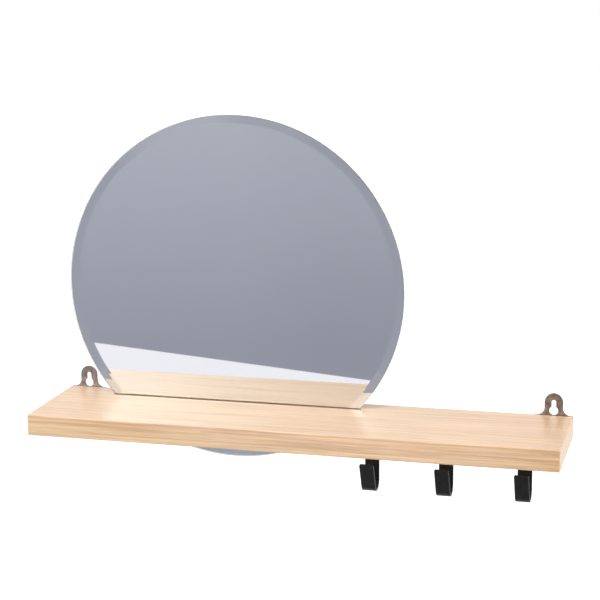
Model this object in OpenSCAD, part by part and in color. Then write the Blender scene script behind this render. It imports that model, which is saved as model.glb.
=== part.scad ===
// Wall mirror with a shelf. A round bevelled mirror stands in a slot through a
// wooden board, two keyhole plates hang the board on a wall, and three hooks
// are screwed under it.
// Millimetres. +X runs to the viewer's right, +Y into the wall and +Z up.
// The origin is midway between the round holes of the two keyhole plates, on
// the plane of the wall.

/* [Shelf board] */
// Length of the board
board_length = 600; // [460:1:900]
// Depth of the board, from its front to its back
board_depth = 134; // [105:1:220]
// Thickness of the board
board_thickness = 24; // [19:0.5:40]
// Radius of the eased edges of the board
board_edge_r = 1; // [0.5:0.5:6]

/* [Mirror] */
// Diameter of the mirror
mirror_diameter = 397.5; // [325:0.5:490]
// Thickness of the glass
glass_thickness = 5; // [4:0.5:8]
// Width of the bevel round the front of the glass
bevel_width = 10; // [4:0.5:30]
// How much thinner the bevel leaves the rim of the glass
bevel_depth = 1.5; // [0.5:0.25:3]
// Size of the ground arris at the back of the rim
arris = 0.4; // [0.2:0.1:0.8]
// Thickness of the silver layer
silver_thickness = 0.1; // [0.05:0.05:0.3]
// Thickness of the paint that protects the silver
paint_thickness = 0.2; // [0.1:0.05:0.5]
// How far the silver and the paint stop short of the rim
coating_margin = 0.6; // [0.2:0.1:2]
// Centre of the mirror from the left end of the board
mirror_from_left = 212.5; // [205:0.5:260]
// Centre of the mirror above the top of the board
mirror_rise = 133; // [100:0.5:165]
// Back of the glass from the back of the board
mirror_from_back = 22; // [17:0.5:40]

/* [Slot for the mirror] */
// Gap on each side of the mirror in its slot
slot_side_gap = 0.35; // [0.2:0.05:1]
// Gap between the rim of the glass and the ends of the slot that carry it
slot_seat_gap = 0.3; // [0.2:0.05:1]

/* [Keyhole plates] */
// Middle of each plate from the end of the board
hanger_inset = 22.5; // [22:0.5:60]
// Thickness of the plate
hanger_thickness = 1.5; // [1.4:0.1:3]
// Width of the base, which is screwed to the back of the board
hanger_width = 44; // [38:0.5:60]
// Height of the base
hanger_base_height = 19; // [17:0.5:30]
// Radius of the lower corners of the base
hanger_corner_r = 4; // [1:0.5:8]
// Width of the tab that stands above the board
tab_width = 20.6; // [14:0.2:30]
// Radius of the hollow shoulders between the tab and the base
shoulder_r = 9; // [3:0.5:9.5]
// Diameter of the round hole that passes over the head of a wall screw
keyhole_diameter = 10; // [8:0.1:12]
// Centre of the round hole above the top of the board
keyhole_rise = 5.4; // [5:0.1:10]
// Width of the slot that the neck of the wall screw ends in
keyslot_width = 5.2; // [4:0.1:6.5]
// Centre of the slot's round end above the centre of the round hole
keyslot_rise = 9.8; // [6:0.1:14]

/* [Screws of the keyhole plates] */
// Diameter of the shank
hanger_screw_d = 3; // [2.5:0.1:3.6]
// Diameter of the countersunk head
hanger_screw_head_d = 5.4; // [4.5:0.1:7]
// Length of the screw with its head
hanger_screw_length = 14; // [10:0.5:18]
// Upper screws from the middle of the plate
hanger_screw_side = 15.5; // [13:0.5:18]
// Upper screws below the top of the base
hanger_screw_drop = 6.5; // [4:0.5:8]
// Lower screw below the top of the base
hanger_low_screw_drop = 13; // [11:0.5:15]

/* [Hooks] */
// Width of the strip that a hook is formed from
hook_width = 16; // [10:0.5:25]
// Thickness of the strip
hook_thickness = 3; // [2:0.1:4]
// How far a hook reaches below the board
hook_drop = 50; // [40:1:70]
// Inner radius of the bend that things hang in
hook_bend_r = 8.5; // [5:0.5:12]
// Length of the straight lip
lip_length = 30; // [15:0.5:35]
// How far the lip leans forward, in degrees
lip_lean = 22.8; // [0:0.1:35]
// Inner radius of the corner between the flange and the upright
flange_corner_r = 2; // [1:0.5:4]
// Length of the flange under the board, with the corner
flange_length = 40; // [36:1:46]
// Front of the upright from the front of the board
hook_from_front = 55; // [40:1:60]
// Middle of the right hook from the right end of the board
hook_right_inset = 43.5; // [30:0.5:70]
// Distance between the middle and the right hook
hook_gap_right = 86.5; // [30:0.5:90]
// Distance between the left and the middle hook
hook_gap_left = 83; // [30:0.5:90]

/* [Screws of the hooks] */
// Diameter of the shank
hook_screw_d = 3.5; // [3:0.1:4.2]
// Diameter of the countersunk head
hook_screw_head_d = 6.6; // [5:0.1:8]
// Length of the screw with its head
hook_screw_length = 15; // [12:0.5:18]
// Front screw behind the front of the upright
hook_screw_first = 14; // [11:0.5:18]
// Distance between the two screws of a hook
hook_screw_pitch = 17; // [12:0.5:18]

/* [Fits of the screws] */
// Gap round the shank and the head of a screw
screw_gap = 0.1; // [0.05:0.05:0.3]
// How much deeper than its screw a hole in the board is
pilot_extra = 1; // [0.5:0.5:3]
// Height of the straight rim of a screw head
head_rim = 0.15; // [0.1:0.05:0.3]
// How far a screw head is sunk below the face that it holds
head_sink = 0.05; // [0:0.05:0.3]

/* [Hidden] */
$fn = 96;
// Overshoot of a cut past the face that it opens
past = 1;

// The board in the frame of the object
board_back_y = -hanger_thickness;
board_front_y = board_back_y - board_depth;
board_mid_y = board_back_y - board_depth / 2;
board_top_z = -keyhole_rise;
board_under_z = board_top_z - board_thickness;
board_left_x = -board_length / 2;
board_right_x = board_length / 2;

// The mirror in the frame of the object
mirror_r = mirror_diameter / 2;
mirror_x = board_left_x + mirror_from_left;
mirror_z = board_top_z + mirror_rise;
glass_back_y = board_back_y - mirror_from_back;
glass_front_y = glass_back_y - glass_thickness;
silver_back_y = glass_back_y + silver_thickness;
paint_back_y = silver_back_y + paint_thickness;
coating_r = mirror_r - coating_margin;

// The slot: the rim of the mirror meets the upper edge of each end, and the
// ends are round, as a cutter leaves them
slot_width = paint_back_y - glass_front_y + 2 * slot_side_gap;
slot_mid_y = (paint_back_y + glass_front_y) / 2;
slot_end_r = slot_width / 2;
mirror_half_t = (paint_back_y - glass_front_y) / 2;
seat_half = sqrt(pow(mirror_r + slot_seat_gap, 2) - pow(mirror_rise, 2));
round_end_loss = slot_end_r - sqrt(pow(slot_end_r, 2) - pow(mirror_half_t, 2));
slot_half_length = seat_half + round_end_loss;

// The keyhole plates
hanger_x = board_length / 2 - hanger_inset;
tab_top_r = tab_width / 2;
shoulder_x = tab_top_r + shoulder_r;

// The hooks
hook_right_x = board_right_x - hook_right_inset;
hook_middle_x = hook_right_x - hook_gap_right;
hook_left_x = hook_middle_x - hook_gap_left;
hook_y = board_front_y + hook_from_front;
bend_outer_r = hook_bend_r + hook_thickness;
corner_outer_r = flange_corner_r + hook_thickness;
bend_z = bend_outer_r - hook_drop;

// The screws
tip_length_share = 1.4;
recess_depth_share = 0.2;
recess_span_share = 0.58;
recess_width_share = 0.16;

// ---- Places ----

// Turns a shape drawn along Z so that its +Z points at the wall, and puts it
// at a point of a keyhole plate, whose left one is at side -1
module at_hanger(side, x = 0, z = 0) {
    translate([side * hanger_x + x, 0, z])
        rotate([-90, 0, 0])
            children();
}

// The same for a shape whose +Z points down, on the lower face of a flange
module at_flange(x, behind) {
    translate([x, hook_y + behind, board_under_z - hook_thickness])
        rotate([180, 0, 0])
            children();
}

// ---- Screws ----

// A countersunk wood screw: +Z leaves by its head, whose top is at zero
module wood_screw(shank_d, head_d, length) {
    shank_r = shank_d / 2;
    head_r = head_d / 2;
    tip = shank_d * tip_length_share;
    recess_depth = head_d * recess_depth_share;
    recess_span = head_d * recess_span_share;
    recess_width = head_d * recess_width_share;
    difference() {
        rotate_extrude()
            polygon([
                [0, 0],
                [head_r, 0],
                [head_r, -head_rim],
                [shank_r, -head_rim - (head_r - shank_r)],
                [shank_r, tip - length],
                [0, -length]
            ]);
        for (turn = [0, 90])
            rotate([0, 0, turn])
                translate([-recess_span / 2, -recess_width / 2, -recess_depth])
                    cube([recess_span, recess_width, recess_depth + past]);
    }
}

// The space that a screw takes, with its gap, in what it holds and in the board
module screw_pocket(shank_d, head_d, length) {
    shank_r = shank_d / 2 + screw_gap;
    head_r = head_d / 2 + screw_gap;
    rotate_extrude()
        polygon([
            [0, past],
            [head_r, past],
            [head_r, -head_rim],
            [shank_r, -head_rim - (head_r - shank_r)],
            [shank_r, -length - pilot_extra],
            [0, -length - pilot_extra]
        ]);
}

module hanger_screw() {
    color("dimgray")
        translate([0, 0, -head_sink])
            wood_screw(hanger_screw_d, hanger_screw_head_d, hanger_screw_length);
}

module hook_screw() {
    color("black")
        translate([0, 0, -head_sink])
            wood_screw(hook_screw_d, hook_screw_head_d, hook_screw_length);
}

// The outer screw is the one by the end of the board
module hanger_screw_outer(side) {
    at_hanger(side, side * hanger_screw_side, board_top_z - hanger_screw_drop)
        hanger_screw();
}

module hanger_screw_inner(side) {
    at_hanger(side, -side * hanger_screw_side, board_top_z - hanger_screw_drop)
        hanger_screw();
}

module hanger_screw_low(side) {
    at_hanger(side, 0, board_top_z - hanger_low_screw_drop)
        hanger_screw();
}

module hook_screw_front(x) {
    at_flange(x, hook_screw_first)
        hook_screw();
}

module hook_screw_rear(x) {
    at_flange(x, hook_screw_first + hook_screw_pitch)
        hook_screw();
}

// Every pocket of one keyhole plate
module hanger_pockets(side) {
    for (x = [-hanger_screw_side, hanger_screw_side])
        at_hanger(side, x, board_top_z - hanger_screw_drop)
            hanger_pocket();
    at_hanger(side, 0, board_top_z - hanger_low_screw_drop)
        hanger_pocket();
}

module hanger_pocket() {
    translate([0, 0, -head_sink])
        screw_pocket(hanger_screw_d, hanger_screw_head_d, hanger_screw_length);
}

// Both pockets of one hook
module hook_pockets(x) {
    for (behind = [hook_screw_first, hook_screw_first + hook_screw_pitch])
        at_flange(x, behind)
            translate([0, 0, -head_sink])
                screw_pocket(hook_screw_d, hook_screw_head_d, hook_screw_length);
}

// ---- Shelf board ----

module rounded_rectangle(width, height, r) {
    union() {
        square([width - 2 * r, height], center = true);
        square([width, height - 2 * r], center = true);
        for (x = [-1, 1], y = [-1, 1])
            translate([x * (width / 2 - r), y * (height / 2 - r)])
                circle(r);
    }
}

// The board without its slot and holes, about its own middle. Each direction
// rounds the four edges that run along it.
module board_blank() {
    intersection() {
        rotate([90, 0, 90])
            linear_extrude(board_length, center = true)
                rounded_rectangle(board_depth, board_thickness, board_edge_r);
        linear_extrude(board_thickness, center = true)
            rounded_rectangle(board_length, board_depth, board_edge_r);
        rotate([90, 0, 0])
            linear_extrude(board_depth, center = true)
                rounded_rectangle(board_length, board_thickness, board_edge_r);
    }
}

module mirror_slot() {
    translate([mirror_x, slot_mid_y, board_under_z - past])
        linear_extrude(board_thickness + 2 * past)
            union() {
                square([2 * (slot_half_length - slot_end_r), slot_width], center = true);
                for (end = [-1, 1])
                    translate([end * (slot_half_length - slot_end_r), 0])
                        circle(slot_end_r);
            }
}

module shelf_board() {
    color("burlywood")
        difference() {
            translate([0, board_mid_y, (board_top_z + board_under_z) / 2])
                board_blank();
            mirror_slot();
            for (side = [-1, 1])
                hanger_pockets(side);
            for (x = [hook_left_x, hook_middle_x, hook_right_x])
                hook_pockets(x);
        }
}

// ---- Mirror ----

// Turns a shape drawn about Z so that its +Z points out of the mirror's face
module on_mirror(y) {
    translate([mirror_x, y, mirror_z])
        rotate([90, 0, 0])
            children();
}

module mirror_glass() {
    color("lightslategray")
        on_mirror(glass_back_y)
            rotate_extrude()
                polygon([
                    [0, 0],
                    [mirror_r - arris, 0],
                    [mirror_r, arris],
                    [mirror_r, glass_thickness - bevel_depth],
                    [mirror_r - bevel_width, glass_thickness],
                    [0, glass_thickness]
                ]);
}

module mirror_silver() {
    color("silver")
        on_mirror(silver_back_y)
            cylinder(h = silver_thickness, r = coating_r);
}

module mirror_back_paint() {
    color("gray")
        on_mirror(paint_back_y)
            cylinder(h = paint_thickness, r = coating_r);
}

// ---- Keyhole plates ----

// Outline of a plate, with the origin at the top of the base, in its middle
module hanger_outline() {
    difference() {
        union() {
            // base, with round lower corners
            translate([-hanger_width / 2, hanger_corner_r - hanger_base_height])
                square([hanger_width, hanger_base_height - hanger_corner_r]);
            translate([hanger_corner_r - hanger_width / 2, -hanger_base_height])
                square([hanger_width - 2 * hanger_corner_r, hanger_base_height]);
            for (x = [-1, 1])
                translate([x * (hanger_width / 2 - hanger_corner_r), hanger_corner_r - hanger_base_height])
                    circle(hanger_corner_r);
            // tab, with the hollow shoulders still full
            translate([-shoulder_x, -hanger_corner_r])
                square([2 * shoulder_x, hanger_corner_r + shoulder_r]);
            translate([-tab_top_r, 0])
                square([tab_width, keyhole_rise + keyslot_rise]);
            translate([0, keyhole_rise + keyslot_rise])
                circle(tab_top_r);
        }
        for (x = [-1, 1])
            translate([x * shoulder_x, shoulder_r])
                circle(shoulder_r);
        // keyhole
        translate([0, keyhole_rise])
            circle(d = keyhole_diameter);
        translate([-keyslot_width / 2, keyhole_rise])
            square([keyslot_width, keyslot_rise]);
        translate([0, keyhole_rise + keyslot_rise])
            circle(d = keyslot_width);
    }
}

module hanger(side) {
    color("rosybrown")
        difference() {
            translate([side * hanger_x, 0, board_top_z])
                rotate([90, 0, 0])
                    linear_extrude(hanger_thickness)
                        hanger_outline();
            hanger_pockets(side);
        }
}

// ---- Hooks ----

// Side view of a hook, from its left: +X is to the back and +Y is up. The
// origin is on the lower face of the board, at the front of the upright.
module hook_outline() {
    // flange
    translate([corner_outer_r, -hook_thickness])
        square([flange_length - corner_outer_r, hook_thickness]);
    // corner
    intersection() {
        translate([corner_outer_r, -corner_outer_r])
            ring(flange_corner_r, corner_outer_r);
        translate([0, -corner_outer_r])
            square(corner_outer_r);
    }
    // upright
    translate([0, bend_z])
        square([hook_thickness, -corner_outer_r - bend_z]);
    // bend, from the upright round to the lip: a ring without what lies above
    // the end of the upright and above the foot of the lip
    translate([-hook_bend_r, bend_z])
        difference() {
            ring(hook_bend_r, bend_outer_r);
            for (lean = [0, lip_lean])
                rotate(lean)
                    translate([-2 * bend_outer_r, 0])
                        square([4 * bend_outer_r, 2 * bend_outer_r]);
        }
    // lip
    translate([-hook_bend_r, bend_z])
        rotate(lip_lean)
            translate([-bend_outer_r, 0])
                square([hook_thickness, lip_length]);
}

module ring(inner_r, outer_r) {
    difference() {
        circle(outer_r);
        circle(inner_r);
    }
}

module hook(x) {
    color("#1c1c1c")
        difference() {
            translate([x - hook_width / 2, hook_y, board_under_z])
                rotate([90, 0, 90])
                    linear_extrude(hook_width)
                        hook_outline();
            hook_pockets(x);
        }
}

shelf_board();
mirror_glass();
mirror_silver();
mirror_back_paint();
hanger(-1);  // hanger_left
hanger(1);  // hanger_right
hanger_screw_outer(-1);  // hanger_left_screw_outer
hanger_screw_inner(-1);  // hanger_left_screw_inner
hanger_screw_low(-1);  // hanger_left_screw_low
hanger_screw_outer(1);  // hanger_right_screw_outer
hanger_screw_inner(1);  // hanger_right_screw_inner
hanger_screw_low(1);  // hanger_right_screw_low
hook(hook_left_x);  // hook_left
hook(hook_middle_x);  // hook_middle
hook(hook_right_x);  // hook_right
hook_screw_front(hook_left_x);  // hook_left_screw_front
hook_screw_rear(hook_left_x);  // hook_left_screw_rear
hook_screw_front(hook_middle_x);  // hook_middle_screw_front
hook_screw_rear(hook_middle_x);  // hook_middle_screw_rear
hook_screw_front(hook_right_x);  // hook_right_screw_front
hook_screw_rear(hook_right_x);  // hook_right_screw_rear
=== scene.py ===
"""Wall mirror with a shelf, in its finishes.

A round bevelled mirror stands in a slot through a wooden board. Two keyhole
plates hang the board on a wall, and three hooks are screwed under it.

The object's sizes are in millimetres and become metres where a mesh is finished.
The camera and the studio are in metres. +X runs to the viewer's right, +Y into
the wall and +Z up.
"""

from math import acos, cos, degrees, hypot, pi, radians, sin, sqrt, tau

import bmesh
import bpy
from mathutils import Euler, Matrix, Vector


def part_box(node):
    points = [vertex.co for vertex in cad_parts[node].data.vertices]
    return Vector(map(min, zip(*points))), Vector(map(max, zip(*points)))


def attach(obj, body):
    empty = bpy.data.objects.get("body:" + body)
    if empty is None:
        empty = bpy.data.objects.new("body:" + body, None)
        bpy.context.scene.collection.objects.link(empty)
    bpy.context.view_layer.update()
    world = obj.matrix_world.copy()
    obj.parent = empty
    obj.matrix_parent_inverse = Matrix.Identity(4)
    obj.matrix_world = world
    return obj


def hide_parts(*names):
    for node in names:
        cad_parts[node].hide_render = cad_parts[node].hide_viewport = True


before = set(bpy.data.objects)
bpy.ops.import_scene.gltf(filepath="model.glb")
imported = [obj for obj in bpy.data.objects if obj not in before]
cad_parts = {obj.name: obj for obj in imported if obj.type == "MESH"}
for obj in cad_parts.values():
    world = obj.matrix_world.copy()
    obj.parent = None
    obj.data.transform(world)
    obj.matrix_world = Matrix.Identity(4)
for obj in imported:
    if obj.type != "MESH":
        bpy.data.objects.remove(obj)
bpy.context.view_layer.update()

MM = 0.001

# ---- Sizes of the object, beside its nodes' boxes ----

# Board
BOARD_EDGE_R = 1.0
BOARD_EDGE_STEPS = 4
SLOT_EDGE_R = 0.4
SLOT_EDGE_STEPS = 3

# Mirror
BEVEL_WIDTH = 10.0
BEVEL_DEPTH = 1.5
ARRIS = 0.4
FRONT_ARRIS = 0.3
FILM_ARRIS = 0.05
SILVER_GAP = 0.02
MIRROR_STEPS = 256

# Slot through the board
SLOT_SIDE_GAP = 0.35
SLOT_SEAT_GAP = 0.3
SLOT_END_STEPS = 20

# Keyhole plates, measured from the middle of the top of the base
PLATE_WIDTH = 44.0
PLATE_BASE = 19.0
PLATE_CORNER_R = 4.0
PLATE_TAB_R = 10.3
PLATE_SHOULDER_R = 9.0
KEYHOLE_R = 5.0
KEYHOLE_RISE = 5.4
KEYSLOT_R = 2.6
KEYSLOT_RISE = 15.2
PLATE_EDGE_R = 0.15
PLATE_CORNER_STEPS = 10
PLATE_CURVE_STEPS = 20
PLATE_TAB_STEPS = 40
KEYHOLE_STEPS = 48

# Hooks
HOOK_WIDTH = 16.0
HOOK_THICKNESS = 3.0
HOOK_FLANGE = 40.0
HOOK_CORNER_R = 2.0
HOOK_BEND_R = 8.5
HOOK_DROP = 50.0
HOOK_LIP = 30.0
HOOK_LEAN = radians(22.8)
HOOK_EDGE_R = 0.7
HOOK_END_R = 1.8
HOOK_CORNER_STEPS = 8
HOOK_BEND_STEPS = 24
HOOK_EDGE_STEPS = 4
HOOK_END_STEPS = 6

# Screws: the plates' heads face the wall, the hooks' heads face down
SCREW_GAP = 0.1
SCREW_PILOT = 1.0
SCREW_RIM = 0.15
POCKET_STEPS = 32
PLATE_SCREW = {
    "label": "plate",
    "owners": ("hanger_left", "hanger_right"),
    "places": ("outer", "inner", "low"),
    "shank": 3.0,
    "head": 5.4,
    "length": 14.0,
    "pitch": 1.3,
    "turn": Euler((radians(-90), 0, 0)),
    "turn_seed": 3,
}
HOOK_SCREW = {
    "label": "hook",
    "owners": ("hook_left", "hook_middle", "hook_right"),
    "places": ("front", "rear"),
    "shank": 3.5,
    "head": 6.6,
    "length": 15.0,
    "pitch": 1.5,
    "turn": Euler((radians(180), 0, 0)),
    "turn_seed": 8,
}

# How far a cutter reaches past what it cuts, and how close points are joined
CUT_PAST = 1.0
JOIN_WITHIN = 1e-4

# Angles between faces, in degrees, past which an edge is eased or kept sharp
SLOT_CREASE = 50
BOARD_CREASE = 40
DISC_CREASE = 8
METAL_CREASE = 35
SCREW_CREASE = 40


# ---- Small helpers ----


def box_mm(node):
    """Lowest and highest corner of a CAD node, in millimetres."""
    low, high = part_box(node)
    return low / MM, high / MM


def middle_mm(node):
    """Middle of a CAD node's box, in millimetres."""
    low, high = box_mm(node)
    return (low + high) / 2


def arc(centre, radius, start, end, steps):
    """Points on an arc in a plane, from one angle to another in degrees."""
    points = []
    for i in range(steps + 1):
        angle = radians(start + (end - start) * i / steps)
        points.append((centre[0] + radius * cos(angle), centre[1] + radius * sin(angle)))
    return points


def new_object(name, data):
    made = bpy.data.objects.new(name, data)
    bpy.context.scene.collection.objects.link(made)
    return made


def object_from(bm, name, *materials, closed=True):
    """An object of a built mesh, whose faces are turned outwards where it is closed."""
    if closed:
        bmesh.ops.recalc_face_normals(bm, faces=bm.faces)
    mesh = bpy.data.meshes.new(name)
    bm.to_mesh(mesh)
    bm.free()
    for material in materials:
        mesh.materials.append(material)
    return new_object(name, mesh)


def discard(old):
    """Removes an object and its data."""
    data = old.data
    bpy.data.objects.remove(old)
    is_mesh = isinstance(data, bpy.types.Mesh)
    (bpy.data.meshes if is_mesh else bpy.data.curves).remove(data)


def baked(source, name):
    """A plain mesh object with the modifiers of the source in it."""
    graph = bpy.context.evaluated_depsgraph_get()
    mesh = bpy.data.meshes.new_from_object(source.evaluated_get(graph))
    made = new_object(name, mesh)
    discard(source)
    made.name = mesh.name = name
    return made


def cut(target, cutter, name, self_crossing=False):
    """The target without the cutter, as a plain mesh object."""
    modifier = target.modifiers.new("cut", "BOOLEAN")
    modifier.operation = "DIFFERENCE"
    modifier.solver = "EXACT"
    modifier.material_mode = "TRANSFER"
    modifier.use_self = self_crossing
    modifier.object = cutter
    made = baked(target, name)
    discard(cutter)
    return made


def soften(made, crease):
    """Smooth shading, kept sharp wherever faces meet at more than an angle in degrees."""
    mesh = made.data
    mesh.polygons.foreach_set("use_smooth", [True] * len(mesh.polygons))
    mesh.set_sharp_from_angle(angle=radians(crease))


def keep_flats_flat(made, crease):
    """Smooth shading whose normals follow the larger faces, so that only the eased edges turn."""
    soften(made, crease)
    weigh = made.modifiers.new("flat faces", "WEIGHTED_NORMAL")
    weigh.mode = "FACE_AREA"
    weigh.weight = 100
    weigh.keep_sharp = True
    return baked(made, made.name)


def hand_over(made, body, nodes):
    """Turns millimetres into metres, and puts a piece in the place of its nodes."""
    made.data.transform(Matrix.Scale(MM, 4))
    made.data.update()
    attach(made, body)
    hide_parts(*nodes)


# ---- Shapes shared by several pieces ----


def ring_at(bm, points, height):
    """Corners of a mesh on flat points, at a height."""
    return [bm.verts.new((x, y, height)) for x, y in points]


def lathe(bm, profile, steps, place):
    """A solid turned about Z from points of radius and height, whose ends lie on the axis."""
    rings = []
    for radius, height in profile[1:-1]:
        ring = []
        for i in range(steps):
            angle = tau * i / steps
            point = Vector((radius * cos(angle), radius * sin(angle), height))
            ring.append(bm.verts.new(place @ point))
        rings.append(ring)
    return skin(bm, rings)


def skin(bm, rings):
    """Faces between closed rings of points, with a flat face over the first and the last."""
    faces = []
    for lower, upper in zip(rings, rings[1:]):
        for i in range(len(lower)):
            j = (i + 1) % len(lower)
            faces.append(bm.faces.new((lower[i], lower[j], upper[j], upper[i])))
    faces.append(bm.faces.new(list(reversed(rings[0]))))
    faces.append(bm.faces.new(rings[-1]))
    return faces


def pocket_profile(screw):
    """The space of a countersunk screw, with its gap, from past its head to past its tip."""
    shank = screw["shank"] / 2 + SCREW_GAP
    head = screw["head"] / 2 + SCREW_GAP
    end = -screw["length"] - SCREW_PILOT
    neck = -SCREW_RIM - (screw["head"] - screw["shank"]) / 2
    over = CUT_PAST
    return [(0, over), (head, over), (head, -SCREW_RIM), (shank, neck), (shank, end), (0, end)]


def screw_place(node, screw):
    """Where the top of a screw's head is, from the middle of its CAD node's box."""
    out = screw["turn"].to_matrix() @ Vector((0, 0, 1))
    return middle_mm(node) + out * screw["length"] / 2


def screw_nodes(screw, owners):
    return [f"{owner}_screw_{place}" for owner in owners for place in screw["places"]]


def pockets(screw, owners, *materials):
    """A cutter for the holes of the screws of some plates or hooks."""
    turned = screw["turn"].to_matrix().to_4x4()
    bm = bmesh.new()
    for node in screw_nodes(screw, owners):
        place = Matrix.Translation(screw_place(node, screw)) @ turned
        lathe(bm, pocket_profile(screw), POCKET_STEPS, place)
    return object_from(bm, "screw_pockets", *materials)


# ---- Shader building ----


def feed(socket, value):
    """Links a socket to a node's output, or gives it a plain value."""
    if isinstance(value, bpy.types.NodeSocket):
        socket.id_data.links.new(value, socket)
    else:
        socket.default_value = value


def add(tree, kind, label, inputs=None, **settings):
    """A node with its settings, and values or links on its inputs. A bare kind is a shader node's."""
    node = tree.nodes.new(kind if "Node" in kind else f"ShaderNode{kind}")
    node.name = label
    node.label = label
    for key, value in settings.items():
        setattr(node, key, value)
    for key, value in (inputs or {}).items():
        feed(node.inputs[key], value)
    return node


def calc(tree, label, operation, a, b=0.0):
    return add(tree, "Math", label, {0: a, 1: b}, operation=operation).outputs[0]


def times(tree, label, a, b):
    return calc(tree, label, "MULTIPLY", a, b)


def blend(tree, label, factor, a, b, kind="MIX"):
    inputs = {0: factor, 6: a, 7: b}
    settings = {"data_type": "RGBA", "blend_type": kind}
    return add(tree, "Mix", label, inputs, **settings).outputs[2]


def span(tree, label, value, low, high, to_low=0.0, to_high=1.0, smooth=True):
    """A value taken from one range to another, and held at its ends."""
    inputs = {"Value": value, "From Min": low, "From Max": high, "To Min": to_low, "To Max": to_high}
    kind = "SMOOTHSTEP" if smooth else "LINEAR"
    return add(tree, "MapRange", label, inputs, interpolation_type=kind).outputs[0]


def noise(tree, label, vector, stretch, detail=2.0, roughness=0.5):
    """Noise whose features are about as large as the stretch, in millimetres along each axis."""
    scale = tuple(1 / size for size in stretch)
    scaled = add(tree, "Mapping", f"{label} size", {"Vector": vector, "Scale": scale})
    inputs = {"Vector": scaled.outputs[0], "Scale": 1.0, "Detail": detail, "Roughness": roughness}
    return add(tree, "TexNoise", label, inputs).outputs["Fac"]


def sized_noise(tree, label, vector, size, detail):
    """Noise whose features are about as large as a value, in millimetres."""
    scale = calc(tree, f"{label} scale", "DIVIDE", 1.0, size)
    inputs = {"Vector": vector, "Scale": scale, "Detail": detail}
    return add(tree, "TexNoise", label, inputs).outputs["Fac"]


def group(name, inputs, outputs):
    """A shader node group with a vector, named inputs with their defaults, and named outputs."""
    tree = bpy.data.node_groups.new(name, "ShaderNodeTree")
    for label, value in {"Vector": (0.0, 0.0, 0.0), **inputs}.items():
        kind = "NodeSocketVector" if isinstance(value, tuple) else "NodeSocketFloat"
        socket = tree.interface.new_socket(label, in_out="INPUT", socket_type=kind)
        socket.default_value = value
    for label in outputs:
        tree.interface.new_socket(label, in_out="OUTPUT", socket_type="NodeSocketFloat")
    entry = tree.nodes.new("NodeGroupInput")
    way_out = tree.nodes.new("NodeGroupOutput")
    return tree, entry.outputs, way_out.inputs


def wood_figure_group():
    """Year rings about a pith along X, in millimetres from it, with the fibres along them."""
    outputs = ("Late Wood", "Fibre", "Streak", "Patch", "Fleck", "Height")
    tree, given, result = group("wood_figure", {"Ring Spacing": 3.0, "Wander": 4.0}, outputs)
    vector = given["Vector"]
    across = add(tree, "Mapping", "across the pith", {"Vector": vector, "Scale": (0, 1, 1)})
    radius = add(tree, "VectorMath", "radius", {0: across.outputs[0]}, operation="LENGTH")
    bow = calc(tree, "bow", "SUBTRACT", noise(tree, "slow bow", vector, (260, 75, 75)), 0.5)
    bow = times(tree, "bow size", bow, given["Wander"])
    bowed = calc(tree, "bowed radius", "ADD", radius.outputs["Value"], bow)
    drift = add(tree, "TexNoise", "drift", {"W": bowed, "Scale": 0.07}, noise_dimensions="1D")
    drift = times(tree, "drift size", drift.outputs["Fac"], 9.0)
    rings = calc(tree, "uneven radius", "ADD", bowed, drift)
    rings = calc(tree, "rings", "DIVIDE", rings, given["Ring Spacing"])
    phase = calc(tree, "place in the ring", "FRACT", rings)
    number = calc(tree, "ring number", "FLOOR", rings)
    lot = add(tree, "TexWhiteNoise", "ring lot", {"W": number}, noise_dimensions="1D")
    darkest = 0.88
    strength = span(tree, "ring strength", lot.outputs["Value"], 0.0, 1.0, 0.25, 1.0, False)
    rise = span(tree, "late wood rises", phase, 0.35, darkest)
    fall = span(tree, "late wood ends", phase, darkest, 1.0, 1.0, 0.0)
    line = times(tree, "late line", rise, fall)
    line = times(tree, "late line by ring", line, strength)
    fade = span(tree, "line fades", noise(tree, "fade", vector, (120, 9, 9)), 0.35, 0.6, 0.35, 1.0)
    late = times(tree, "late wood", line, fade)
    hair = noise(tree, "fibre", vector, (26, 0.5, 0.5), 3.0, 0.6)
    strand = noise(tree, "strand", vector, (110, 1.7, 1.7), 3.0, 0.6)
    fibre = calc(tree, "fibre", "ADD", times(tree, "half fibre", hair, 0.4), strand)
    fibre = span(tree, "fibre span", fibre, 0.45, 0.95, smooth=False)
    fleck = span(tree, "fleck", noise(tree, "flecks", vector, (9, 0.7, 0.7)), 0.66, 0.76)
    streak = span(tree, "streak", noise(tree, "streaks", vector, (420, 13, 13), 1.0), 0.32, 0.68)
    patch = span(tree, "patch", noise(tree, "patches", vector, (130, 6, 6), 3.0, 0.6), 0.46, 0.64)
    height = times(tree, "raised late wood", late, 0.6)
    height = calc(tree, "height", "ADD", height, times(tree, "fibre height", fibre, 0.4))
    values = (late, fibre, streak, patch, fleck, height)
    for label, value in zip(outputs, values):
        feed(result[label], value)
    return tree


def worn_edge_group():
    """Where a convex edge is rubbed, broken up by noise."""
    tree, given, result = group("worn_edge", {"Size": 6.0, "Amount": 0.5}, ("Mask",))
    shape = add(tree, "NewGeometry", "shape")
    edge = span(tree, "convex edge", shape.outputs["Pointiness"], 0.505, 0.6)
    patches = sized_noise(tree, "patches", given["Vector"], given["Size"], 3.0)
    patches = span(tree, "patch span", patches, 0.35, 0.65)
    mask = times(tree, "patchy edge", edge, patches)
    feed(result["Mask"], times(tree, "amount", mask, given["Amount"]))
    return tree


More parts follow.
